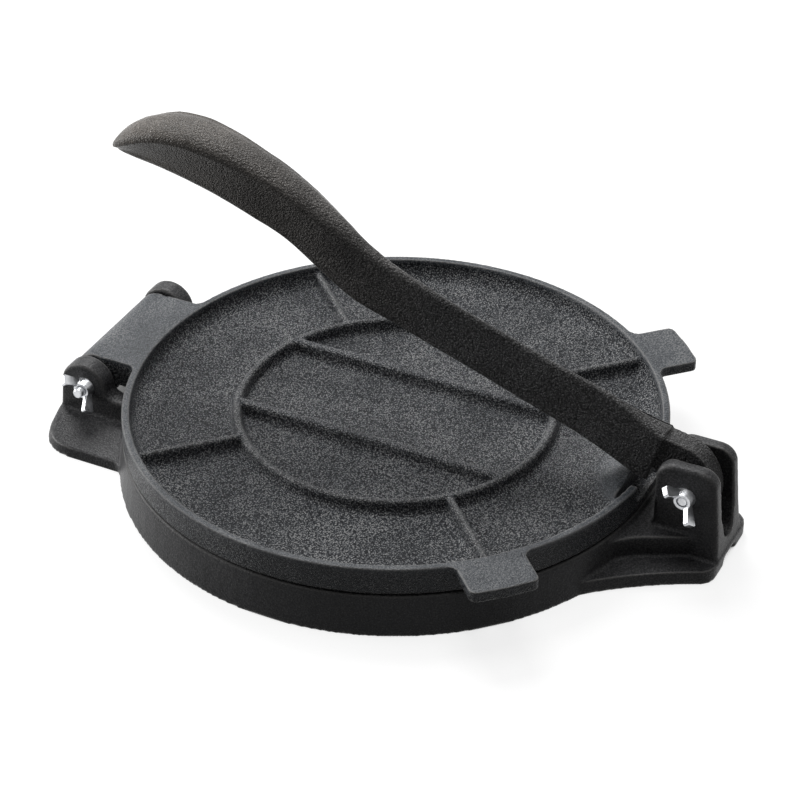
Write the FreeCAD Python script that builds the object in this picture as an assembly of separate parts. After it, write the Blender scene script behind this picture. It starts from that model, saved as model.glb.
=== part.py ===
import FreeCAD, Part
import math
import os

# Cast-iron tortilla press in millimetres: +X from the hinge to the lever fork, +Z up.
# The press stands closed on Z = 0. Outlines are drawn about the round plate's centre and
# every piece is then moved along X so that the press's length is centred on X = 0.

V = FreeCAD.Vector
ORIGIN = V(0, 0, 0)
X_AXIS = V(1, 0, 0)
Y_AXIS = V(0, 1, 0)
Z_AXIS = V(0, 0, 1)
cut_over = 2.0

# Size of the round plate and heights of the closed press, which the other sizes follow
plate_r = 127.0
base_face_z = 20.2
plate_gap = 0.6
plate_tall = 13.6
plate_under_z = base_face_z + plate_gap
rim_z = plate_under_z + plate_tall
edge_round = 0.7

# Base plate with a hollow underside
base_lip = 0.2
base_flare = 2.5
base_top_r = plate_r + base_lip
base_foot_r = base_top_r + base_flare
base_wall = 4.6
base_slab = 5.4
slab_under_z = base_face_z - base_slab
under_rib_w = 4.5
under_rib_tall = 3.8
under_rib_foot_z = slab_under_z - under_rib_tall
under_ring_r = 42.0
under_hub_r = 12.0
under_rib_count = 6

# Rim and floor of the pressing plate
rim_top_w = 3.5
rim_round = 0.8
floor_depth = 8.5
floor_z = rim_z - floor_depth
cove_r = 7.0
wall_draft = 0.4

# Ribs on the pressing plate
rib_height = 5.8
ring_mid_r = 73.7
ring_top_w = 3.6
chord_rib_y = 28.2
chord_rib_top_w = 4.6
radial_rib_top_w = 3.4
rib_draft = 0.8
rib_round = 1.0
rib_root = 1.3
rib_sink = 1.0
radial_rib_angles = (45.0, 135.0, 225.0, 315.0)

# Lifting tabs beside the fork
tab_half_w = 15.7
tab_reach = 19.6
tab_reach_r = plate_r + tab_reach
tab_thick = 5.2
tab_root_r = 4.0
tab_corner_r = 3.2
lug_overlap = 14.0
tab_angles = (45.0, -45.0)

# Ramp that the lever presses on, and the notch that lets its nose past the rim
ramp_start_gap = 3.3
ramp_end_gap = 7.5
ramp_start_x = ring_mid_r + ramp_start_gap
ramp_end_x = plate_r - ramp_end_gap
ramp_rise = 1.4
ramp_end_z = rim_z + ramp_rise
ramp_crest_half = 8.0
ramp_shoulder_half = 25.0
ramp_shoulder_drop = 0.6
ramp_shoulder_z = rim_z - ramp_shoulder_drop
ramp_foot_half = 35.0
ramp_start_half = 18.0
notch_half = 13.0
notch_z = floor_z

# Hinge
knuckle_reach = 17.8
knuckle_x = -plate_r - knuckle_reach
knuckle_r = 11.4
knuckle_z = rim_z - knuckle_r
bore_ahead = 1.6
bore_rise = 1.2
hinge_x = knuckle_x + bore_ahead
hinge_z = knuckle_z + bore_rise
knuckle_half = 30.5
web_root_r = 3.0
heel_reach = 16.7
heel_thick = 5.0
heel_half = 12.0
heel_angle = 220.0

# Bolts and nuts, M5
bolt_r = 2.5
bore_fit = 0.1
bore_r = bolt_r + bore_fit
nut_bore_r = bolt_r + bore_fit
head_flats = 8.0
head_thick = 3.5
head_bevel = 0.5
tip_bevel = 0.6

# Hinge ears and walls of the base
ear_gap = 1.9
ear_thick = 10.0
ear_in_y = knuckle_half + ear_gap
ear_out_y = ear_in_y + ear_thick
ear_r = 12.0
ear_rise = 0.5
ear_z = knuckle_z + ear_rise
ear_root_r = 5.0
ear_edge_r = 1.6
wall_drop = 0.6
wall_top_z = base_face_z - wall_drop
ear_foot_reach = 14.4
ear_back_foot_x = knuckle_x - ear_foot_reach
wall_sink = 15.0
wall_inner_x = wall_sink - plate_r
foot_back_reach = 15.0
foot_back_x = knuckle_x - foot_back_reach
foot_side_y = 66.8
foot_corner_r = 20.0
foot_edge_z = 4.6
foot_root_r = 8.0
foot_slope_in = 0.9
apron_ledge = 5.0
apron_side_y = ear_out_y + apron_ledge
apron_back_in = 1.2
apron_back_x = foot_back_x + apron_back_in
apron_top_z = 8.9
apron_corner_r = 6.0
channel_back_in = 3.4
channel_back_x = foot_back_x + channel_back_in
channel_front_reach = 10.8
channel_front_x = knuckle_x + channel_front_reach
back_bar_z = 6.8

# Fork of the base
pivot_reach = 21.8
pivot_lift = 2.6
pivot_x = plate_r + pivot_reach
pivot_z = rim_z + pivot_lift
fork_top_rise = 14.4
fork_top_z = pivot_z + fork_top_rise
fork_left_reach = 14.6
fork_left_x = pivot_x - fork_left_reach
fork_right_reach = 14.1
fork_right_x = pivot_x + fork_right_reach
fork_foot_reach = 18.0
fork_foot_x = pivot_x + fork_foot_reach
fork_corner_r = 8.0
fork_edge_r = 2.2
tongue_half = 5.2
slot_gap = 2.8
slot_top_half = tongue_half + slot_gap
slot_draft = 0.4
slot_mid_half = slot_top_half - slot_draft
slot_mid_drop = 11.0
slot_mid_z = pivot_z - slot_mid_drop
slot_low_half = 5.0
slot_low_drop = 21.2
slot_low_z = pivot_z - slot_low_drop
slot_floor_drop = 24.7
slot_floor_z = pivot_z - slot_floor_drop
slot_start_gap = 1.8
slot_start_x = base_foot_r + slot_start_gap
fork_wall = 6.4
fork_half = slot_top_half + fork_wall
fork_flare = 2.9
fork_flare_drop = 10.0
arm_drop = 2.6
arm_top_z = base_face_z - arm_drop
arm_start_turn = 24.9
arm_mid_reach = 1.2
arm_mid_y = 31.6
arm_bend_reach = 9.6
arm_bend_y = 22.9
arm_end_reach = 7.4
fork_foot_z = 6.8
fork_foot_turn = 27.9
fork_foot_mid_reach = 14.3
fork_foot_mid_y = 40.8
fork_foot_side_y = 16.4
fork_foot_corner_r = 9.0
fork_foot_corner_turn = 70.0
relief_start_reach = 4.0
relief_half = 7.6
relief_top_half = 6.2
relief_z = 3.9

# Lever, with points given as the distance back from its pivot and the height over it
nose_top = (14.3, 22.4)
nose_foot = (21.8, -3.6)
tongue_low = (20.9, 6.0)
tongue_high = (23.9, 22.4)
tongue_brow = (9.5, 20.0)
tongue_end_points = ((1.6, 18.3), (-7.6, 9.3), (-10.6, -6.5))
tongue_heel_points = ((-6.8, -12.1), (0.0, -13.9))

# Wing nuts
hub_r = 5.0
hub_top_r = 3.9
hub_high = 4.3
wing_turn = 130.0
wing_thick = 2.6
wing_root_r = 4.4
wing_edge_r = 0.7
wing_tip_low = (11.7, 7.6)
wing_tip_high = (7.6, 11.4)
wing_tip_r = 1.1
lever_bolt_tip = -0.3
hinge_bolt_tip = 3.4


def vec(x, y, z):
    """Point in the press's frame."""
    return V(x, y, z)


def face(edges):
    """Flat face from an ordered list of edges."""
    return Part.Face(Part.Wire(edges))


def polygon(points):
    """Closed flat polygon."""
    return Part.Face(Part.makePolygon(points + [points[0]]))


def arc(a, b, c):
    """Arc through three points."""
    return Part.Arc(a, b, c).toShape()


def line(a, b):
    """Straight edge."""
    return Part.makeLine(a, b)


def spun(outline):
    """Full turn of an outline about the vertical axis."""
    return outline.revolve(ORIGIN, Z_AXIS, 360)


def rod(radius, y_from, y_to, x, z):
    """Cylinder that lies along Y."""
    return Part.makeCylinder(radius, y_to - y_from, vec(x, y_from, z), Y_AXIS)


def slab_y(outline, half):
    """Outline in the XZ plane thickened by half on both sides of Y = 0."""
    outline.translate(vec(0, -half, 0))
    return outline.extrude(vec(0, 2 * half, 0))


def mirrored(solid):
    """The solid and its mirror image across the XZ plane."""
    return solid.fuse(solid.mirror(ORIGIN, Y_AXIS))


def rib_outline(top_w):
    """Cross-section of a cast rib, across X and up Z from the plate's floor."""
    top = top_w / 2
    foot = top + rib_draft
    root = foot + rib_root
    up = rib_height
    return polygon([
        vec(-root, 0, -rib_sink),
        vec(root, 0, -rib_sink),
        vec(root, 0, 0),
        vec(foot, 0, rib_root),
        vec(top, 0, up - rib_round),
        vec(top - rib_round, 0, up),
        vec(rib_round - top, 0, up),
        vec(-top, 0, up - rib_round),
        vec(-foot, 0, rib_root),
        vec(-root, 0, 0),
    ])


def lug_outline(half, reach_r, root_r, z):
    """Plan of a straight lug that grows from the plate's round edge along +X."""
    turn = plate_r + root_r
    mid_x = math.sqrt(turn ** 2 - (half + root_r) ** 2)
    share = plate_r / turn
    start = vec(mid_x * share, (half + root_r) * share, z)
    inner = vec(start.x - lug_overlap, 0, z)
    inner_up = vec(inner.x, start.y, z)
    lean = math.radians(45)
    bulge = vec(mid_x - root_r * math.sin(lean), half + root_r - root_r * math.cos(lean), z)
    side = vec(mid_x, half, z)
    corner_in = math.sqrt(reach_r ** 2 - half ** 2)
    before = vec(corner_in - tab_corner_r, half, z)
    after_y = half - tab_corner_r
    after = vec(math.sqrt(reach_r ** 2 - after_y ** 2), after_y, z)
    mid = (before + after) * 0.5
    knee = mid + (vec(corner_in, half, z) - mid) * (math.sqrt(2) - 1)

    def low(point):
        return vec(point.x, -point.y, point.z)

    return face([
        line(inner_up, start),
        arc(start, bulge, side),
        line(side, before),
        arc(before, knee, after),
        arc(after, vec(reach_r, 0, z), low(after)),
        arc(low(after), low(knee), low(before)),
        line(low(before), low(side)),
        arc(low(side), low(bulge), low(start)),
        line(low(start), low(inner_up)),
        line(low(inner_up), inner_up),
    ])


def plate_disc():
    """Round plate with its rim, from one turned outline."""
    wall_top_r = plate_r - rim_top_w
    wall_foot_r = wall_top_r - wall_draft
    cove_mid = math.radians(45)
    cove_x = wall_foot_r - cove_r
    cove_z = floor_z + cove_r
    return spun(face([
        line(vec(0, 0, plate_under_z), vec(plate_r - edge_round, 0, plate_under_z)),
        line(vec(plate_r - edge_round, 0, plate_under_z), vec(plate_r, 0, plate_under_z + edge_round)),
        line(vec(plate_r, 0, plate_under_z + edge_round), vec(plate_r, 0, rim_z - rim_round)),
        arc(
            vec(plate_r, 0, rim_z - rim_round),
            vec(
                plate_r - rim_round * (1 - math.cos(cove_mid)),
                0,
                rim_z - rim_round * (1 - math.sin(cove_mid)),
            ),
            vec(plate_r - rim_round, 0, rim_z),
        ),
        line(vec(plate_r - rim_round, 0, rim_z), vec(wall_top_r, 0, rim_z)),
        line(vec(wall_top_r, 0, rim_z), vec(wall_foot_r, 0, cove_z)),
        arc(
            vec(wall_foot_r, 0, cove_z),
            vec(cove_x + cove_r * math.cos(cove_mid), 0, cove_z - cove_r * math.sin(cove_mid)),
            vec(cove_x, 0, floor_z),
        ),
        line(vec(cove_x, 0, floor_z), vec(0, 0, floor_z)),
        line(vec(0, 0, floor_z), vec(0, 0, plate_under_z)),
    ]))


def plate_ribs():
    """Inner ring, two chord ribs inside it and four radial ribs outside it."""
    ring = rib_outline(ring_top_w)
    ring.translate(vec(ring_mid_r, 0, floor_z))
    ribs = spun(ring)
    reach = math.sqrt(ring_mid_r ** 2 - chord_rib_y ** 2)
    for side in (-1, 1):
        bar = rib_outline(chord_rib_top_w)
        bar.rotate(ORIGIN, Z_AXIS, 90)
        bar.translate(vec(-reach, side * chord_rib_y, floor_z))
        ribs = ribs.fuse(bar.extrude(vec(2 * reach, 0, 0)))
    for angle in radial_rib_angles:
        bar = rib_outline(radial_rib_top_w)
        bar.rotate(ORIGIN, Z_AXIS, 90)
        bar.translate(vec(ring_mid_r, 0, floor_z))
        spoke = bar.extrude(vec(plate_r - rim_top_w / 2 - ring_mid_r, 0, 0))
        spoke.rotate(ORIGIN, Z_AXIS, angle)
        ribs = ribs.fuse(spoke)
    return ribs


def ramp_section(x, crest_half, crest_z, shoulder_half, shoulder_z, foot_half):
    """Outline of the ramp across the plate at one distance from the hinge."""
    return Part.makePolygon([
        vec(x, -foot_half, floor_z - rib_sink),
        vec(x, -foot_half, floor_z),
        vec(x, -shoulder_half, shoulder_z),
        vec(x, -crest_half, crest_z),
        vec(x, crest_half, crest_z),
        vec(x, shoulder_half, shoulder_z),
        vec(x, foot_half, floor_z),
        vec(x, foot_half, floor_z - rib_sink),
        vec(x, -foot_half, floor_z - rib_sink),
    ])


def plate_ramp():
    """Wedge that rises from the inner ring to the rim under the lever."""
    low = ramp_section(
        ramp_start_x,
        ramp_crest_half,
        floor_z + edge_round,
        ramp_start_half - cut_over,
        floor_z + edge_round / 2,
        ramp_start_half,
    )
    high = ramp_section(
        ramp_end_x,
        ramp_crest_half,
        ramp_end_z,
        ramp_shoulder_half,
        ramp_shoulder_z,
        ramp_foot_half,
    )
    wedge = Part.makeLoft([low, high], True, True)
    inside = Part.makeCylinder(plate_r - rim_top_w / 2, rim_z, ORIGIN, Z_AXIS)
    return wedge.common(inside)


def hinge_knuckle():
    """Straight web and round knuckle on the plate's hinge side, with the stop heel under it."""
    web = lug_outline(knuckle_half, -knuckle_x, web_root_r, plate_under_z)
    web.rotate(ORIGIN, Z_AXIS, 180)
    web = web.extrude(vec(0, 0, rim_z - plate_under_z))
    keep = Part.makeBox(
        -knuckle_x, 4 * knuckle_half, rim_z, vec(knuckle_x, -2 * knuckle_half, 0)
    )
    web = web.common(keep)
    roll = rod(knuckle_r, -knuckle_half, knuckle_half, knuckle_x, knuckle_z)
    heel = Part.makeBox(heel_reach, 2 * heel_half, heel_thick, vec(0, -heel_half, -heel_thick / 2))
    heel.rotate(ORIGIN, Y_AXIS, -heel_angle)
    heel.translate(vec(hinge_x, 0, hinge_z))
    return web.fuse([roll, heel])


def make_top_plate():
    """Pressing plate: disc, ribs, ramp, tabs and hinge knuckle in one casting."""
    plate = plate_disc()
    inside = Part.makeCylinder(plate_r - rim_top_w / 2, rim_z + cut_over, ORIGIN, Z_AXIS)
    parts = [plate_ribs().common(inside), plate_ramp()]
    for angle in tab_angles:
        tab = lug_outline(tab_half_w, tab_reach_r, tab_root_r, rim_z - tab_thick)
        tab = tab.extrude(vec(0, 0, tab_thick))
        tab.rotate(ORIGIN, Z_AXIS, angle)
        parts.append(tab.cut(inside))
    parts.append(hinge_knuckle().cut(inside))
    plate = plate.fuse(parts)
    notch = Part.makeBox(
        plate_r, 2 * notch_half, rim_z, vec(ramp_end_x, -notch_half, notch_z)
    )
    bore = rod(bore_r, -knuckle_half - cut_over, knuckle_half + cut_over, hinge_x, hinge_z)
    return plate.cut([notch, bore]).removeSplitter()


def base_disc():
    """Round base plate, hollow below, with a ring and spokes under it."""
    shell = spun(polygon([
        vec(0, 0, slab_under_z),
        vec(base_top_r - base_wall, 0, slab_under_z),
        vec(base_foot_r - base_wall, 0, 0),
        vec(base_foot_r, 0, 0),
        vec(base_top_r, 0, base_face_z - edge_round),
        vec(base_top_r - edge_round, 0, base_face_z),
        vec(0, 0, base_face_z),
    ]))
    tall = slab_under_z - under_rib_foot_z + rib_sink
    foot = vec(0, 0, under_rib_foot_z)
    ring = Part.makeCylinder(under_ring_r, tall, foot, Z_AXIS)
    ring = ring.cut(Part.makeCylinder(under_ring_r - under_rib_w, tall, foot, Z_AXIS))
    parts = [ring, Part.makeCylinder(under_hub_r, tall, foot, Z_AXIS)]
    reach = base_top_r - base_wall / 2
    for step in range(under_rib_count):
        spoke = Part.makeBox(reach, under_rib_w, tall, vec(0, -under_rib_w / 2, under_rib_foot_z))
        spoke.rotate(ORIGIN, Z_AXIS, 30 + 360 * step / under_rib_count)
        parts.append(spoke)
    return shell.fuse(parts)


def foot_wire(back_x, side_y, corner_r, z):
    """Plan of the hinge foot, open into the round base on its +X side."""
    slant = math.radians(45)
    pull = corner_r * (1 - math.cos(slant))
    inner_x = wall_inner_x
    points = [
        vec(inner_x, side_y, z),
        vec(back_x + corner_r, side_y, z),
        vec(back_x + pull, side_y - pull, z),
        vec(back_x, side_y - corner_r, z),
    ]
    low = [vec(p.x, -p.y, p.z) for p in points]
    return Part.Wire([
        line(low[0], points[0]),
        line(points[0], points[1]),
        arc(points[1], points[2], points[3]),
        line(points[3], low[3]),
        arc(low[3], low[2], low[1]),
        line(low[1], low[0]),
    ])


def foot_gusset(side_y, root_r, z_top):
    """Rounded inner corner between the hinge foot's side and the round base."""
    turn = base_foot_r + root_r
    mid_y = side_y + root_r
    mid_x = -math.sqrt(turn ** 2 - mid_y ** 2)
    share = base_foot_r / turn
    block = polygon([
        vec(mid_x, side_y - cut_over, 0),
        vec(mid_x, mid_y, 0),
        vec(mid_x * share, mid_y * share, 0),
        vec(mid_x * share + cut_over, side_y - cut_over, 0),
    ]).extrude(vec(0, 0, z_top))
    return block.cut(Part.makeCylinder(root_r, z_top, vec(mid_x, mid_y, 0), Z_AXIS))


def hinge_ears():
    """Both ears with the low walls that carry them back to the round base."""
    root_z = wall_top_z + ear_root_r
    apart = ear_r + ear_root_r
    lift = math.asin((root_z - ear_z) / apart)
    root_x = knuckle_x + apart * math.cos(lift)

    def on_ear(turn):
        return vec(knuckle_x + ear_r * math.cos(turn), 0, ear_z + ear_r * math.sin(turn))

    def on_root(turn):
        return vec(root_x + ear_root_r * math.cos(turn), 0, root_z + ear_root_r * math.sin(turn))

    quarter = math.pi / 2
    back = on_ear(math.pi)
    root_from = math.pi + lift
    root_to = math.pi + quarter
    outline = face([
        line(vec(ear_back_foot_x, 0, 0), back),
        arc(back, on_ear(quarter), on_ear(lift)),
        arc(on_root(root_from), on_root((root_from + root_to) / 2), on_root(root_to)),
        line(on_root(root_to), vec(wall_inner_x, 0, wall_top_z)),
        line(vec(wall_inner_x, 0, wall_top_z), vec(wall_inner_x, 0, 0)),
        line(vec(wall_inner_x, 0, 0), vec(ear_back_foot_x, 0, 0)),
    ])
    outline.translate(vec(0, ear_in_y, 0))
    ear = outline.extrude(vec(0, ear_out_y - ear_in_y, 0))
    rims = []
    for edge in ear.Edges:
        box = edge.BoundBox
        if box.YLength < bore_fit and box.ZMax > wall_top_z and box.XMax < wall_inner_x - cut_over:
            rims.append(edge)
    return mirrored(ear.makeFillet(ear_edge_r, rims))


def hinge_foot():
    """Low foot around the hinge ears, sloping up to a narrow ledge beside them."""
    side = foot_side_y
    edge = Part.makeLoft([
        foot_wire(foot_back_x, side, foot_corner_r, 0),
        foot_wire(foot_back_x + foot_slope_in, side - foot_slope_in, foot_corner_r, foot_edge_z),
    ], True, True)
    apron = Part.makeLoft([
        foot_wire(foot_back_x + foot_slope_in, side - foot_slope_in, foot_corner_r, foot_edge_z),
        foot_wire(apron_back_x, apron_side_y, apron_corner_r, apron_top_z),
    ], True, True)
    gusset = mirrored(foot_gusset(side - foot_slope_in, foot_root_r, foot_edge_z))
    return edge.fuse([apron, gusset])


def fork_plan(run, first, last, z_top):
    """Plan solid of the fork's arm or foot, from the run of edges along its near side."""
    edges = run + [edge.mirror(ORIGIN, Y_AXIS) for edge in run]
    edges.append(line(first, vec(first.x, -first.y, 0)))
    edges.append(line(last, vec(last.x, -last.y, 0)))
    return face(Part.__sortEdges__(edges)).extrude(vec(0, 0, z_top))


def fork_arm():
    """Thick arm under the fork ears, hollowed at its sides."""
    turn = math.radians(arm_start_turn)
    first = vec(math.cos(turn), math.sin(turn), 0) * base_top_r
    mid = vec(plate_r - arm_mid_reach, arm_mid_y, 0)
    bend = vec(pivot_x - arm_bend_reach, arm_bend_y, 0)
    last = vec(pivot_x + arm_end_reach, fork_half, 0)
    run = [arc(first, mid, bend), line(bend, last)]
    return fork_plan(run, first, last, arm_top_z)


def fork_foot():
    """Thin foot around the arm, with rounded corners at its far end."""
    centre = vec(fork_foot_x - fork_foot_corner_r, fork_foot_side_y, 0)

    def on_corner(degrees):
        turn = math.radians(degrees)
        return centre + vec(math.cos(turn), math.sin(turn), 0) * fork_foot_corner_r

    start_turn = math.radians(fork_foot_turn)
    first = vec(math.cos(start_turn), math.sin(start_turn), 0) * base_top_r
    mid = vec(pivot_x - fork_foot_mid_reach, fork_foot_mid_y, 0)
    bend = on_corner(fork_foot_corner_turn)
    last = on_corner(0)
    run = [
        arc(first, mid, bend),
        arc(bend, on_corner(fork_foot_corner_turn / 2), last),
    ]
    return fork_plan(run, first, last, fork_foot_z)


def fork_width():
    """Cross-section of the fork along X: upright sides that spread towards the foot."""
    flare_z = pivot_z - fork_flare_drop
    bow_r = (fork_flare ** 2 + flare_z ** 2) / (2 * fork_flare)
    half_z = flare_z / 2
    bow_y = fork_half + bow_r - math.sqrt(bow_r ** 2 - (flare_z - half_z) ** 2)
    start = fork_left_x - cut_over
    top_z = fork_top_z + cut_over
    foot_half = fork_half + fork_flare
    outline = face([
        line(vec(start, -fork_half, top_z), vec(start, fork_half, top_z)),
        line(vec(start, fork_half, top_z), vec(start, fork_half, flare_z)),
        arc(vec(start, fork_half, flare_z), vec(start, bow_y, half_z), vec(start, foot_half, 0)),
        line(vec(start, foot_half, 0), vec(start, -foot_half, 0)),
        arc(vec(start, -foot_half, 0), vec(start, -bow_y, half_z), vec(start, -fork_half, flare_z)),
        line(vec(start, -fork_half, flare_z), vec(start, -fork_half, top_z)),
    ])
    return outline.extrude(vec(fork_foot_x + cut_over - start, 0, 0))


def fork_ears():
    """Block of both fork ears with rounded upper corners, before the slot is cut."""
    r = fork_corner_r
    turn = math.radians(45)
    left = fork_left_x
    right = fork_right_x
    top = fork_top_z
    outline = face([
        line(vec(left, 0, 0), vec(left, 0, top - r)),
        arc(
            vec(left, 0, top - r),
            vec(left + r * (1 - math.cos(turn)), 0, top - r * (1 - math.sin(turn))),
            vec(left + r, 0, top),
        ),
        line(vec(left + r, 0, top), vec(right - r, 0, top)),
        arc(
            vec(right - r, 0, top),
            vec(right - r * (1 - math.cos(turn)), 0, top - r * (1 - math.sin(turn))),
            vec(right, 0, top - r),
        ),
        line(vec(right, 0, top - r), vec(fork_foot_x, 0, 0)),
        line(vec(fork_foot_x, 0, 0), vec(left, 0, 0)),
    ])
    block = slab_y(outline, fork_half + fork_flare).common(fork_width())
    rims = []
    for edge in block.Edges:
        box = edge.BoundBox
        if box.YLength < fork_half and box.ZMax > fork_foot_z:
            rims.append(edge)
    return block.makeFillet(fork_edge_r, rims)


def fork_slot():
    """Slot between the fork ears, closing in to a rounded floor."""
    over = fork_top_z + cut_over
    wide = slot_top_half + (slot_top_half - slot_mid_half) * cut_over / (fork_top_z - slot_mid_z)
    start = slot_start_x
    outline = face([
        line(vec(start, -wide, over), vec(start, -slot_mid_half, slot_mid_z)),
        line(vec(start, -slot_mid_half, slot_mid_z), vec(start, -slot_low_half, slot_low_z)),
        arc(
            vec(start, -slot_low_half, slot_low_z),
            vec(start, 0, slot_floor_z),
            vec(start, slot_low_half, slot_low_z),
        ),
        line(vec(start, slot_low_half, slot_low_z), vec(start, slot_mid_half, slot_mid_z)),
        line(vec(start, slot_mid_half, slot_mid_z), vec(start, wide, over)),
        line(vec(start, wide, over), vec(start, -wide, over)),
    ])
    return outline.extrude(vec(fork_foot_x + cut_over - start, 0, 0))


def foot_relief():
    """Shallow arch across the fork's end, so that the press stands on its two corners."""
    start = pivot_x + relief_start_reach
    outline = polygon([
        vec(start, -relief_half, 0),
        vec(start, relief_half, 0),
        vec(start, relief_top_half, relief_z),
        vec(start, -relief_top_half, relief_z),
    ])
    return outline.extrude(vec(fork_foot_x + cut_over - start, 0, 0))


def make_base():
    """Base casting: round plate, fork with its foot, hinge ears with theirs."""
    hinge = hinge_foot().fuse(hinge_ears())
    core = Part.makeCylinder(base_top_r - base_wall, slab_under_z, ORIGIN, Z_AXIS)
    fork = fork_foot().fuse([fork_arm(), fork_ears()]).cut([fork_slot(), foot_relief()])
    outer = fork.fuse(hinge).cut(core)
    channel = Part.makeBox(
        channel_front_x - channel_back_x,
        2 * ear_in_y,
        2 * rim_z,
        vec(channel_back_x, -ear_in_y, -cut_over),
    )
    above_bar = Part.makeBox(
        wall_inner_x - foot_back_x + cut_over,
        2 * ear_in_y,
        2 * rim_z,
        vec(foot_back_x - cut_over, -ear_in_y, back_bar_z),
    )
    outer = outer.cut([channel, above_bar])
    base = base_disc().fuse(outer)
    pivot_bore = rod(bore_r, -fork_half - cut_over, fork_half + cut_over, pivot_x, pivot_z)
    hinge_bore = rod(bore_r, -ear_out_y - cut_over, ear_out_y + cut_over, hinge_x, hinge_z)
    return base.cut([pivot_bore, hinge_bore]).removeSplitter()


# Lever stations from the nose to the grip's tip: top point, foot point, half widths of
# top and foot, heights of the rounded top and foot.
lever_stations = [
    (nose_top, nose_foot, 6.5, 6.5, 1.6, 1.4),
    ((26.8, 28.4), (33.8, 0.7), 6.2, 6.3, 1.6, 1.4),
    ((45.8, 37.0), (54.8, 9.8), 5.0, 5.2, 1.8, 1.5),
    ((69.8, 44.9), (79.8, 17.7), 3.8, 4.0, 2.2, 1.6),
    ((94.8, 53.4), (104.8, 26.2), 3.3, 3.4, 2.4, 1.8),
    ((119.8, 61.7), (129.8, 34.4), 3.2, 3.3, 2.4, 1.8),
    ((139.8, 68.4), (151.8, 41.8), 3.2, 3.3, 2.6, 2.0),
    ((156.8, 73.8), (168.8, 47.4), 3.8, 3.3, 3.4, 2.0),
    ((172.8, 83.6), (185.8, 57.6), 5.4, 3.3, 5.0, 2.2),
    ((190.8, 95.8), (202.8, 68.6), 7.6, 3.4, 7.0, 2.2),
    ((210.8, 106.4), (218.8, 76.0), 9.7, 3.5, 8.6, 2.4),
    ((230.8, 113.8), (235.8, 82.4), 11.7, 3.6, 9.8, 2.6),
    ((248.8, 117.8), (250.8, 86.8), 12.9, 3.8, 10.4, 2.8),
    ((265.8, 117.1), (264.8, 90.0), 13.1, 3.9, 10.2, 3.0),
    ((279.3, 112.2), (275.8, 91.9), 12.1, 3.8, 9.0, 3.0),
    ((288.6, 105.3), (285.0, 93.4), 9.5, 3.5, 6.0, 2.4),
    ((292.4, 100.2), (290.7, 95.0), 5.4, 2.6, 2.6, 1.2),
]
cap_angle_steps = (-60.0, -30.0, 0.0, 30.0, 60.0)


def by_pivot(point):
    """Point in the lever's own plane from its distance back and its height."""
    return vec(pivot_x - point[0], 0, pivot_z + point[1])


def cap_edge(centre, up, half, high):
    """Half-round edge from -Y to +Y that bulges by high along up from its centre."""
    rise = up * high
    points = [centre - Y_AXIS * half]
    for angle in cap_angle_steps:
        turn = math.radians(angle)
        points.append(centre + Y_AXIS * (half * math.sin(turn)) + rise * math.cos(turn))
    points.append(centre + Y_AXIS * half)
    curve = Part.BSplineCurve()
    curve.interpolate(Points=points, InitialTangent=rise, FinalTangent=rise * -1)
    return curve.toShape(), points[0], points[-1]


def lever_section(top, foot, top_half, foot_half, top_cap, foot_cap):
    """Cross-section of the lever: two straight sides between a rounded top and foot."""
    upper = by_pivot(top)
    lower = by_pivot(foot)
    up = upper - lower
    up.normalize()
    crown, near_top, far_top = cap_edge(upper - up * top_cap, up, top_half, top_cap)
    keel, near_foot, far_foot = cap_edge(lower + up * foot_cap, up * -1, foot_half, foot_cap)
    return Part.Wire([crown, line(far_top, far_foot), keel, line(near_foot, near_top)])


def lever_tongue():
    """Narrow tongue that carries the lever's nose to its pivot, with a broad rounded end."""
    low = by_pivot(tongue_low)
    high = by_pivot(tongue_high)
    brow = by_pivot(tongue_brow)
    top, side, heel = [by_pivot(point) for point in tongue_end_points]
    belly, root = [by_pivot(point) for point in tongue_heel_points]
    outline = face([
        line(low, high),
        line(high, brow),
        line(brow, top),
        arc(top, side, heel),
        arc(heel, belly, root),
        line(root, low),
    ])
    return slab_y(outline, tongue_half)


def make_lever():
    """Lever casting: nose, thin web and broad grip in one run, and the tongue."""
    wires = [lever_section(*station) for station in lever_stations]
    body = Part.makeLoft(wires, True, False)
    lever = body.fuse(lever_tongue())
    bore = rod(bore_r, -tongue_half - cut_over, tongue_half + cut_over, pivot_x, pivot_z)
    return lever.cut(bore)


def make_bolt(x, z, seat_y, tip):
    """Hex-headed bolt along Y, with its head on the far ear and its end past the wing nut."""
    across = head_flats / math.sqrt(3)
    corners = []
    for step in range(6):
        turn = math.radians(60 * step)
        corners.append(vec(x + across * math.cos(turn), seat_y, z + across * math.sin(turn)))
    head = polygon(corners).extrude(vec(0, head_thick, 0))
    cone = Part.makeCone(
        across + head_thick,
        across - head_bevel,
        head_thick + head_bevel,
        vec(x, seat_y - head_bevel, z),
        Y_AXIS,
    )
    head = head.common(cone)
    end_y = -seat_y - hub_high - tip
    shank = rod(bolt_r, end_y + tip_bevel, seat_y + head_thick / 2, x, z)
    point = Part.makeCone(bolt_r - tip_bevel, bolt_r, tip_bevel, vec(x, end_y, z), Y_AXIS)
    return head.fuse([shank, point]).removeSplitter()


def wing_plate():
    """One wing as a flat plate in the XZ plane, with Z standing for the way out along the bolt."""
    low = vec(wing_root_r, 0, wing_edge_r)
    outer = vec(wing_tip_low[0], 0, wing_tip_low[1])
    inner = vec(wing_tip_high[0], 0, wing_tip_high[1])
    root = vec(0, 0, hub_high)
    shoulder = vec(hub_top_r - wing_edge_r, 0, hub_high)
    plate = slab_y(polygon([low, outer, inner, shoulder, root, vec(0, 0, wing_edge_r)]), wing_thick / 2)
    tips = []
    for edge in plate.Edges:
        box = edge.BoundBox
        if box.XLength < wing_edge_r and box.ZLength < wing_edge_r and box.XMin > hub_r + wing_edge_r:
            tips.append(edge)
    return plate.makeFillet(wing_tip_r, tips)


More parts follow.
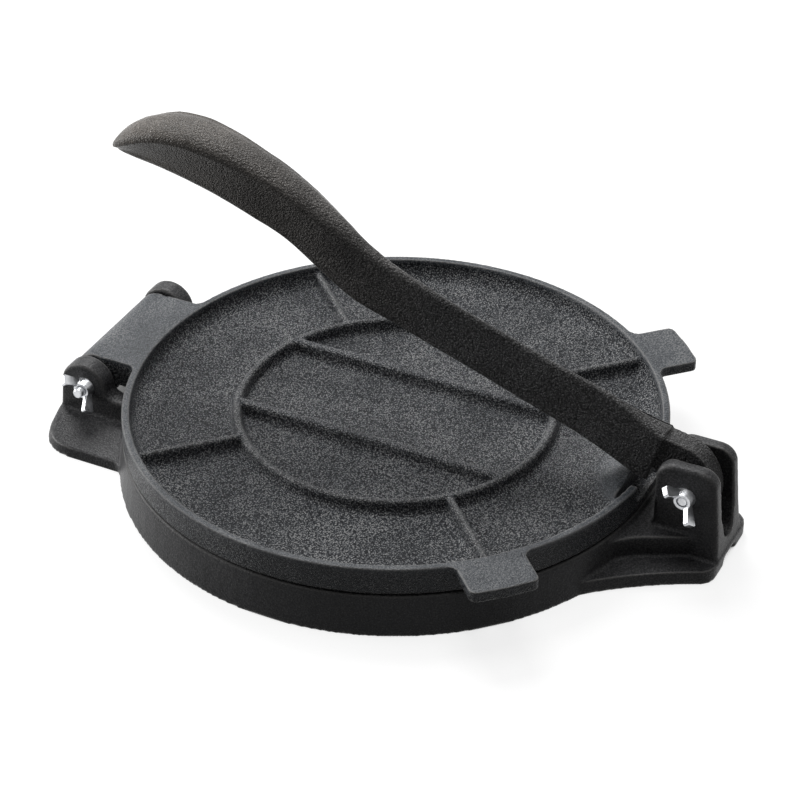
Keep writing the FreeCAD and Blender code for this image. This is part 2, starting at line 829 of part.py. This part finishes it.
def make_wing_nut(x, z, seat_y):
    """Wing nut on the near ear, its wings rising away from the ear."""
    wing = wing_plate()
    other = wing.copy()
    other.rotate(ORIGIN, Z_AXIS, 180)
    hub = Part.makeCone(hub_r, hub_top_r, hub_high, ORIGIN, Z_AXIS)
    nut = hub.fuse([wing, other])
    nut = nut.cut(Part.makeCylinder(nut_bore_r, hub_high + 2 * cut_over, vec(0, 0, -cut_over), Z_AXIS))
    nut.rotate(ORIGIN, X_AXIS, 90)
    nut.rotate(ORIGIN, Y_AXIS, -wing_turn)
    nut.translate(vec(x, seat_y, z))
    return nut.removeSplitter()


def main():
    """Write every piece to its own file."""
    os.makedirs("parts", exist_ok=True)
    to_middle = vec(-(foot_back_x + fork_foot_x) / 2, 0, 0)
    pieces = {
        "base": make_base(),
        "top_plate": make_top_plate(),
        "lever": make_lever(),
        "hinge_bolt": make_bolt(hinge_x, hinge_z, ear_out_y, hinge_bolt_tip),
        "lever_bolt": make_bolt(pivot_x, pivot_z, fork_half, lever_bolt_tip),
        "hinge_wing_nut": make_wing_nut(hinge_x, hinge_z, -ear_out_y),
        "lever_wing_nut": make_wing_nut(pivot_x, pivot_z, -fork_half),
    }
    for name, solid in pieces.items():
        solid.translate(to_middle)
        solid.exportStep("parts/" + name + ".step")
        print(name, solid.isValid(), len(solid.Solids), round(solid.Volume))


main()
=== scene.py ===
import math

import bpy
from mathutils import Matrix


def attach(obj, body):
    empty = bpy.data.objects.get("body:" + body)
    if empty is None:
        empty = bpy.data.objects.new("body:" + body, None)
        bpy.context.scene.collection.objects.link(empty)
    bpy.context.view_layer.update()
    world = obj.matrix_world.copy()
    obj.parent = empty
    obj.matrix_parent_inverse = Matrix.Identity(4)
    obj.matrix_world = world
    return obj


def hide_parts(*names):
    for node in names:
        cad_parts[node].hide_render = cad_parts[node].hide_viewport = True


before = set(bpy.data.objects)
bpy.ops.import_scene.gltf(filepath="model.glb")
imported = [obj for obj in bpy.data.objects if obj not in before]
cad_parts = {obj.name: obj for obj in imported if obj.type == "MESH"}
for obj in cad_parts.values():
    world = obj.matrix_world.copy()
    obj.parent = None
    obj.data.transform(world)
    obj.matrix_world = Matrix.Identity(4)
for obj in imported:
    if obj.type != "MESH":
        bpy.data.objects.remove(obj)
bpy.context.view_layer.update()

# Base
# One sand-cast iron piece: a round plate on a shallow skirt, with a slotted fork for the lever
# at one end and two ears for the plate's hinge at the other. The mould leaves every edge and
# inner corner soft, and the iron is oiled and baked to a satin black.
base_grain = 0.00075
base_soft_passes = 3
weld_gap = 0.00001
soft_factor = 0.5
face_limit = 190000

base_black = (0.012, 0.012, 0.013, 1.0)
base_grey = (0.046, 0.046, 0.048, 1.0)
# The tip colour is a painted glint, where the sand grain's tips catch the light.
base_glint = (0.14, 0.14, 0.14, 1.0)
base_sand_scale = 1400.0
base_sand_depth = 0.0003
base_calm = ("Z", (0.0, 0.05), (0.42, 0.42))
base_gloss = (0.30, 0.42)

iron_sheen = 0.12
sand_detail = 2.0
sand_roughness = 0.6
sand_strength = 1.0
bead_share = 0.8
film_scale = 34.0
film_detail = 5.0
film_span = (0.35, 0.65)
film_levels = (0.45, 0.57)
# The tone is lifted where the grain's share is small, a painted sheen on the smoother skin.
calm_sheen_lift = 0.11
pit_stop = 0.30
grey_stop = 0.58
glint_stop = 0.90
# Edges past these pointiness stops are painted paler, a painted highlight where they catch the
# light.
edge_stops = (0.515, 0.57)
edge_highlight_grey = (0.21, 0.205, 0.20, 1.0)
wave_scale = 75.0
wave_detail = 2.0
wave_strength = 0.4
wave_depth = 0.0004

whole = (0.0, 1.0)
black = (0.0, 0.0, 0.0, 1.0)
white = (1.0, 1.0, 1.0, 1.0)


def softened_casting(node, name, grain, passes, shape=None):
    """Copy of a casting's solid with its edges and inner corners rounded as a mould leaves them.

    shape moves the copy's points before they are softened.
    """
    piece = bpy.data.objects.new(name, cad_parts[node].data.copy())
    bpy.context.scene.collection.objects.link(piece)
    bpy.ops.object.select_all(action="DESELECT")
    piece.select_set(True)
    bpy.context.view_layer.objects.active = piece
    bpy.ops.object.mode_set(mode="EDIT")
    bpy.ops.mesh.select_all(action="SELECT")
    bpy.ops.mesh.remove_doubles(threshold=weld_gap)
    bpy.ops.mesh.normals_make_consistent(inside=False)
    bpy.ops.object.mode_set(mode="OBJECT")
    skin = piece.modifiers.new("skin", "REMESH")
    skin.mode = "VOXEL"
    skin.voxel_size = grain
    skin.use_smooth_shade = True
    bpy.ops.object.modifier_apply(modifier=skin.name)
    if shape:
        shape(piece)
    soften = piece.modifiers.new("soften", "SMOOTH")
    soften.factor = soft_factor
    soften.iterations = passes
    bpy.ops.object.modifier_apply(modifier=soften.name)
    triangles = 2 * len(piece.data.polygons)
    if triangles > face_limit:
        thin = piece.modifiers.new("thin", "DECIMATE")
        thin.ratio = face_limit / triangles
        bpy.ops.object.modifier_apply(modifier=thin.name)
    return piece


def noise(tree, place, scale, detail):
    """Noise that lies on the piece itself."""
    field = tree.nodes.new("ShaderNodeTexNoise")
    field.inputs["Scale"].default_value = scale
    field.inputs["Detail"].default_value = detail
    tree.links.new(place.outputs["Object"], field.inputs["Vector"])
    return field


def combined(tree, operation, first, second):
    """One sum, difference, product or maximum of two outputs."""
    step = tree.nodes.new("ShaderNodeMath")
    step.operation = operation
    tree.links.new(first, step.inputs[0])
    tree.links.new(second, step.inputs[1])
    return step.outputs["Value"]


def spread(tree, value, span_in, span_out):
    """Runs over span_out while value runs over span_in, and stops at both ends."""
    band = tree.nodes.new("ShaderNodeMapRange")
    band.inputs["From Min"].default_value, band.inputs["From Max"].default_value = span_in
    band.inputs["To Min"].default_value, band.inputs["To Max"].default_value = span_out
    tree.links.new(value, band.inputs["Value"])
    return band.outputs["Result"]


def colour_ramp(tree, value, stops):
    """Colour at value among the given stops, each a position and its colour."""
    tones = tree.nodes.new("ShaderNodeValToRGB")
    ends = tones.color_ramp.elements
    ends[0].position, ends[0].color = stops[0]
    ends[1].position, ends[1].color = stops[-1]
    for position, colour in stops[1:-1]:
        ends.new(position).color = colour
    tree.links.new(value, tones.inputs["Fac"])
    return tones.outputs["Color"]


def bumped(tree, height, strength, depth, under=None):
    """Relief from height, laid over the relief under it."""
    bump = tree.nodes.new("ShaderNodeBump")
    bump.inputs["Strength"].default_value = strength
    bump.inputs["Distance"].default_value = depth
    tree.links.new(height, bump.inputs["Height"])
    if under:
        tree.links.new(under, bump.inputs["Normal"])
    return bump.outputs["Normal"]


def seasoned_iron(name, dark, light, glint, sand_scale, sand_depth, calm, gloss, oil_and_sheen=None):
    """Oiled black cast iron: dark pits, grey sand grain with painted glints on its tips, and paler
    edges that are painted highlights.

    calm gives the axis along which the skin changes, the span of that change, and the grain's
    share at both ends of it. Where that share is small the tone is lifted, a painted sheen on the
    smoother skin. oil gives two tints at the same two ends, and the lighter one paints a sheen
    there.
    """
    material = bpy.data.materials.new(name)
    material.use_nodes = True
    tree = material.node_tree
    shader = tree.nodes["Principled BSDF"]
    shader.inputs["Specular IOR Level"].default_value = iron_sheen
    place = tree.nodes.new("ShaderNodeTexCoord")
    split = tree.nodes.new("ShaderNodeSeparateXYZ")
    tree.links.new(place.outputs["Object"], split.inputs["Vector"])
    axis, calm_span, calm_shares = calm
    share = spread(tree, split.outputs[axis], calm_span, calm_shares)

    sand = noise(tree, place, sand_scale, sand_detail)
    sand.inputs["Roughness"].default_value = sand_roughness
    beads = tree.nodes.new("ShaderNodeTexVoronoi")
    beads.inputs["Scale"].default_value = sand_scale * bead_share
    tree.links.new(place.outputs["Object"], beads.inputs["Vector"])
    relief = combined(tree, "SUBTRACT", sand.outputs["Fac"], beads.outputs["Distance"])
    grain = combined(tree, "MULTIPLY", relief, share)

    patches = noise(tree, place, film_scale, film_detail).outputs["Fac"]
    film = spread(tree, patches, film_span, film_levels)
    speckle = combined(tree, "ADD", grain, film)
    # Where the grain's share is small the tone is lifted, a painted sheen on the smoother skin.
    sheen_lift = tree.nodes.new("ShaderNodeMath")
    sheen_lift.operation = "MULTIPLY_ADD"
    sheen_lift.inputs[1].default_value = -calm_sheen_lift
    sheen_lift.inputs[2].default_value = calm_sheen_lift
    tree.links.new(share, sheen_lift.inputs[0])
    level = combined(tree, "ADD", speckle, sheen_lift.outputs["Value"])
    # The last stop paints glints on the grain's tips.
    tone = colour_ramp(tree, level, ((pit_stop, dark), (grey_stop, light), (glint_stop, glint)))

    # Sharp edges are painted paler, a painted highlight where they catch the light.
    bend = tree.nodes.new("ShaderNodeNewGeometry").outputs["Pointiness"]
    edges = colour_ramp(tree, bend, ((edge_stops[0], black), (edge_stops[1], white)))
    edge_highlight = tree.nodes.new("ShaderNodeMix")
    edge_highlight.data_type = "RGBA"
    edge_highlight.inputs[7].default_value = edge_highlight_grey
    tree.links.new(edges, edge_highlight.inputs[0])
    tree.links.new(tone, edge_highlight.inputs[6])
    colour = edge_highlight.outputs[2]
    # The two tints warm one end and paint it lighter than the other, a painted sheen.
    if oil_and_sheen:
        tint = tree.nodes.new("ShaderNodeMix")
        tint.data_type = "RGBA"
        tint.inputs[6].default_value, tint.inputs[7].default_value = oil_and_sheen
        tree.links.new(spread(tree, split.outputs[axis], calm_span, whole), tint.inputs[0])
        oiled_and_sheened = tree.nodes.new("ShaderNodeMix")
        oiled_and_sheened.data_type = "RGBA"
        oiled_and_sheened.blend_type = "MULTIPLY"
        oiled_and_sheened.inputs[0].default_value = 1.0
        tree.links.new(colour, oiled_and_sheened.inputs[6])
        tree.links.new(tint.outputs[2], oiled_and_sheened.inputs[7])
        colour = oiled_and_sheened.outputs[2]
    tree.links.new(colour, shader.inputs["Base Color"])

    waves = noise(tree, place, wave_scale, wave_detail).outputs["Fac"]
    swell = bumped(tree, waves, wave_strength, wave_depth)
    skin = bumped(tree, grain, sand_strength, sand_depth, swell)
    tree.links.new(skin, shader.inputs["Normal"])
    tree.links.new(spread(tree, patches, whole, gloss), shader.inputs["Roughness"])
    return material


base = softened_casting("base", "base_casting", base_grain, base_soft_passes)
base.data.materials.clear()
base.data.materials.append(
    seasoned_iron(
        "base_iron", base_black, base_grey, base_glint, base_sand_scale, base_sand_depth,
        base_calm, base_gloss,
    )
)
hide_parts("base")
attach(base, "base_body")

# Pressing plate
# The round plate is cast with a raised rim, an inner ring with two straight ribs across it,
# four ribs outside it, a ramp under the lever, two lifting tabs and the hinge knuckle. Its open
# upper side keeps a coarser sand skin than its rim.
plate_grain = 0.0007
plate_soft_passes = 1
plate_black = (0.008, 0.0085, 0.0105, 1.0)
plate_grey = (0.060, 0.0655, 0.073, 1.0)
# The tip colour is a painted glint, where the sand grain's tips catch the light.
plate_glint = (0.31, 0.308, 0.305, 1.0)
plate_sand_scale = 1600.0
plate_sand_depth = 0.0004
# Going up through this band the grain thins and the tone is painted lighter, a painted sheen.
plate_calm = ("Z", (0.0312, 0.0334), (1.2, 0.35))
plate_gloss = (0.26, 0.40)

plate = softened_casting("top_plate", "plate_casting", plate_grain, plate_soft_passes)
plate.data.materials.clear()
plate.data.materials.append(
    seasoned_iron(
        "plate_iron", plate_black, plate_grey, plate_glint, plate_sand_scale, plate_sand_depth,
        plate_calm, plate_gloss,
    )
)
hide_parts("top_plate")
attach(plate, "plate_body")

# Lever
# A long casting with a thin web and a broad rounded grip. Its narrow tongue sits between the
# fork's ears. The hand keeps the grip smoother, and the oil there has a slightly warm tone. The
# grip end is also painted lighter than the nose, a painted sheen.
lever_grain = 0.00055
lever_soft_passes = 1
lever_black = (0.022, 0.022, 0.022, 1.0)
lever_grey = (0.084, 0.084, 0.084, 1.0)
# The tip colour is a painted glint, where the sand grain's tips catch the light.
lever_glint = (0.34, 0.34, 0.34, 1.0)
# The oil tints warm the grip end and paint it lighter than the nose, a painted sheen.
lever_oil_and_sheen = ((1.0, 0.905, 0.815, 1.0), (0.668, 0.663, 0.668, 1.0))
lever_sand_scale = 1300.0
lever_sand_depth = 0.0011
# Towards the grip the grain thins and the tone is painted lighter, a painted sheen.
lever_calm = ("X", (-0.12, 0.02), (0.25, 0.50))
lever_gloss = (0.26, 0.36)

# The pivot's place in X and Z, and the direction in which the web runs back from it
pivot = (0.1453, 0.037)
web_run = (0.9386, 0.3451)

# Distance from the pivot along the web, with half the solid's thickness there
web_half = (
    (0.021, 0.0065), (0.035, 0.0062), (0.056, 0.0050), (0.081, 0.0038), (0.107, 0.0033),
    (0.155, 0.0032), (0.172, 0.0038), (0.191, 0.0054), (0.212, 0.0076), (0.240, 0.0100),
)

# The same distance, with the share of that thickness that the real web has
web_share = (
    (0.021, 1.00), (0.028, 0.81), (0.035, 0.60), (0.045, 0.36), (0.056, 0.33), (0.068, 0.35),
    (0.081, 0.41), (0.107, 0.48), (0.135, 0.49), (0.155, 0.75), (0.172, 1.00), (0.191, 1.12),
    (0.212, 1.10), (0.240, 1.00),
)

# The same distance, with how far the real crown lies under the solid's. The drop is none at
# crown_foot, square to the web's run, and full crown_tall above it.
crown_drop = (
    (0.056, 0.0), (0.068, 0.0010), (0.081, 0.0016), (0.107, 0.0022), (0.155, 0.0020), (0.175, 0.0),
)
crown_foot = -0.012
crown_tall = 0.029

# Level distance back from the pivot, with the height of the grip's top and foot over the pivot
grip_top = (
    (0.1728, 0.0836), (0.1908, 0.0958), (0.2108, 0.1064), (0.2308, 0.1138), (0.2488, 0.1178),
    (0.2658, 0.1171), (0.2793, 0.1122), (0.2886, 0.1053), (0.2924, 0.1002),
)
grip_foot = (
    (0.1728, 0.0500), (0.1908, 0.0615), (0.2188, 0.0760), (0.2358, 0.0824), (0.2508, 0.0868),
    (0.2648, 0.0900), (0.2758, 0.0919), (0.2850, 0.0934), (0.2907, 0.0950),
)
grip_lift = 0.15
grip_blend = ((0.170, 0.0), (0.205, 1.0))

# The nose ends at nose_run from the pivot, and its far side is flush with the tongue's
nose_run = 0.050
nose_far = 0.0052


def between(value, table):
    """Second value of a table of pairs at the given first value."""
    if value <= table[0][0]:
        return table[0][1]
    for (low, low_out), (high, high_out) in zip(table, table[1:]):
        if value <= high:
            return low_out + (high_out - low_out) * (value - low) / (high - low)
    return table[-1][1]


def lever_dressed(piece):
    """Flattens the nose's far side, thins the web, lowers its crown and lifts the grip's side."""
    run, rise = web_run
    for vertex in piece.data.vertices:
        back = pivot[0] - vertex.co.x
        height = vertex.co.z - pivot[1]
        along = back * run + height * rise
        across = height * run - back * rise
        if along < nose_run:
            vertex.co.y = min(vertex.co.y, nose_far)
        half = between(along, web_half)
        vertex.co.y = (vertex.co.y + half) * between(along, web_share) - half
        drop = min(1.0, max(0.0, (across - crown_foot) / crown_tall))
        vertex.co.z -= drop * between(along, crown_drop)
        blend = between(back, grip_blend)
        if blend > 0.0:
            foot = between(back, grip_foot)
            tall = between(back, grip_top) - foot
            level = (height - foot) / tall
            if 0.0 < level < 1.0:
                vertex.co.z += blend * grip_lift * math.sin(math.pi * level) * tall


lever = softened_casting(
    "lever", "lever_casting", lever_grain, lever_soft_passes, lever_dressed
)
lever.data.materials.clear()
lever.data.materials.append(
    seasoned_iron(
        "lever_iron", lever_black, lever_grey, lever_glint, lever_sand_scale, lever_sand_depth,
        lever_calm, lever_gloss, lever_oil_and_sheen,
    )
)
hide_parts("lever")
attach(lever, "lever_body")

# Pivot bolts and wing nuts
# Standard M5 bolts with hexagon heads on the far side and wing nuts on the near side, steel
# with a bright zinc coat. The wing nuts are cast, so their edges are soft.
nut_grain = 0.00013
nut_soft_passes = 3
zinc_dull = (0.46, 0.47, 0.49, 1.0)
zinc_bright = (0.72, 0.73, 0.75, 1.0)
zinc_stops = (0.3, 0.7)
zinc_gloss = (0.22, 0.40)
spangle_scale = 420.0
spangle_detail = 4.0
dent_strength = 0.35
dent_depth = 0.0001


def bright_zinc(name):
    """Bright zinc plate with a faint cloudy spangle and fine dents."""
    material = bpy.data.materials.new(name)
    material.use_nodes = True
    tree = material.node_tree
    shader = tree.nodes["Principled BSDF"]
    shader.inputs["Metallic"].default_value = 1.0
    place = tree.nodes.new("ShaderNodeTexCoord")
    spangle = noise(tree, place, spangle_scale, spangle_detail).outputs["Fac"]
    tone = colour_ramp(
        tree, spangle, ((zinc_stops[0], zinc_dull), (zinc_stops[1], zinc_bright))
    )
    tree.links.new(tone, shader.inputs["Base Color"])
    tree.links.new(spread(tree, spangle, whole, zinc_gloss), shader.inputs["Roughness"])
    tree.links.new(bumped(tree, spangle, dent_strength, dent_depth), shader.inputs["Normal"])
    return material


zinc = bright_zinc("zinc_plate")
for node, body in (
    ("hinge_bolt", "base_body"),
    ("lever_bolt", "base_body"),
    ("hinge_wing_nut", "hinge_nut_body"),
    ("lever_wing_nut", "lever_nut_body"),
):
    fastener = softened_casting(node, node + "_plated", nut_grain, nut_soft_passes)
    fastener.data.materials.clear()
    fastener.data.materials.append(zinc)
    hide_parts(node)
    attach(fastener, body)

# Floor and backdrop
# A plain white table that runs out of sight. It keeps a faint shadow of the press, and a
# painted shadow darkens its glow where the iron stands close over it. It throws little light
# back at the press.
floor_half = 4.0
floor_drop = 0.0002
table_dim = (0.06, 0.06, 0.06, 1.0)
table_tint = (0.25, 0.25, 0.25, 1.0)
table_glow = (0.84, 0.84, 0.84, 1.0)
shade_stops = (0.14, 0.36)
shade_reach = 0.06
shade_samples = 8


def seen_as_white(tree, plain, shown, surface):
    """Shows one shader to the camera, metal and glass, and lets the plain one light the press."""
    rays = tree.nodes.new("ShaderNodeLightPath")
    seen = rays.outputs["Is Camera Ray"]
    for kind in ("Is Transmission Ray", "Is Glossy Ray"):
        seen = combined(tree, "MAXIMUM", seen, rays.outputs[kind])
    choose = tree.nodes.new("ShaderNodeMixShader")
    tree.links.new(seen, choose.inputs["Fac"])
    tree.links.new(plain, choose.inputs[1])
    tree.links.new(shown, choose.inputs[2])
    tree.links.new(choose.outputs["Shader"], surface)


bpy.ops.object.select_all(action="DESELECT")
bpy.ops.mesh.primitive_plane_add(size=2 * floor_half, location=(0.0, 0.0, -floor_drop))
floor = bpy.context.view_layer.objects.active
floor.name = "floor"
paper = bpy.data.materials.new("white_table")
paper.use_nodes = True
tree = paper.node_tree
tree.nodes.remove(tree.nodes["Principled BSDF"])
matt = tree.nodes.new("ShaderNodeBsdfDiffuse")
matt.inputs["Color"].default_value = table_dim
tint = tree.nodes.new("ShaderNodeBsdfDiffuse")
tint.inputs["Color"].default_value = table_tint
# Ambient occlusion darkens the table's glow close under the iron, a painted shadow.
near = tree.nodes.new("ShaderNodeAmbientOcclusion")
near.samples = shade_samples
near.inputs["Distance"].default_value = shade_reach
shade = colour_ramp(
    tree, near.outputs["AO"], ((shade_stops[0], black), (shade_stops[1], table_glow))
)
glow = tree.nodes.new("ShaderNodeEmission")
tree.links.new(shade, glow.inputs["Color"])
bright = tree.nodes.new("ShaderNodeAddShader")
tree.links.new(tint.outputs["BSDF"], bright.inputs[0])
tree.links.new(glow.outputs["Emission"], bright.inputs[1])
seen_as_white(
    tree,
    matt.outputs["BSDF"],
    bright.outputs["Shader"],
    tree.nodes["Material Output"].inputs["Surface"],
)
floor.data.materials.append(paper)

# Light
# A dim white room and three soft lamps. The main one stands behind the press at its left, one
# shines from low at the left, and a weak one hangs overhead.
room_strength = 0.035
backdrop_strength = 1.0
press_centre = (0.0, 0.0, 0.03)

world = bpy.data.worlds.new("studio")
bpy.context.scene.world = world
world.use_nodes = True
tree = world.node_tree
room = tree.nodes["Background"]
room.inputs["Color"].default_value = white
room.inputs["Strength"].default_value = room_strength
backdrop = tree.nodes.new("ShaderNodeBackground")
backdrop.inputs["Color"].default_value = white
backdrop.inputs["Strength"].default_value = backdrop_strength
seen_as_white(
    tree,
    room.outputs["Background"],
    backdrop.outputs["Background"],
    tree.nodes["World Output"].inputs["Surface"],
)


def aimed(piece, place, target):
    """Puts a lamp or the camera at place and turns it to face target."""
    piece.location = place
    reach = [t - p for t, p in zip(target, place)]
    flat = math.hypot(reach[0], reach[1])
    piece.rotation_euler = (math.atan2(flat, -reach[2]), 0.0, math.atan2(-reach[0], reach[1]))


def soft_lamp(name, place, side, power):
    """Square lamp at place that faces the press."""
    data = bpy.data.lights.new(name, "AREA")
    data.size = side
    data.energy = power
    lamp = bpy.data.objects.new(name, data)
    bpy.context.scene.collection.objects.link(lamp)
    aimed(lamp, place, press_centre)


soft_lamp("lamp_key", (-0.55, 0.62, 1.15), 0.7, 18.0)
soft_lamp("lamp_over", (0.05, 0.10, 1.50), 0.8, 7.0)
soft_lamp("lamp_left", (-1.34, -0.20, 0.36), 0.6, 14.0)

# Camera
# Stands at the front right of the press, 1.2 m away, and looks down on it through a long lens,
# so that the round plate shows as a broad ellipse.
lens_mm = 117.45
sensor_mm = 36.0
camera_place = (0.4406, -0.8903, 0.7241)
camera_target = (-0.0016, 0.0005, 0.0344)

camera_data = bpy.data.cameras.new("camera")
camera_data.sensor_width = sensor_mm
camera_data.lens = lens_mm
camera = bpy.data.objects.new("camera", camera_data)
bpy.context.scene.collection.objects.link(camera)
aimed(camera, camera_place, camera_target)
bpy.context.scene.camera = camera
bpy.context.scene.view_settings.view_transform = "Standard"
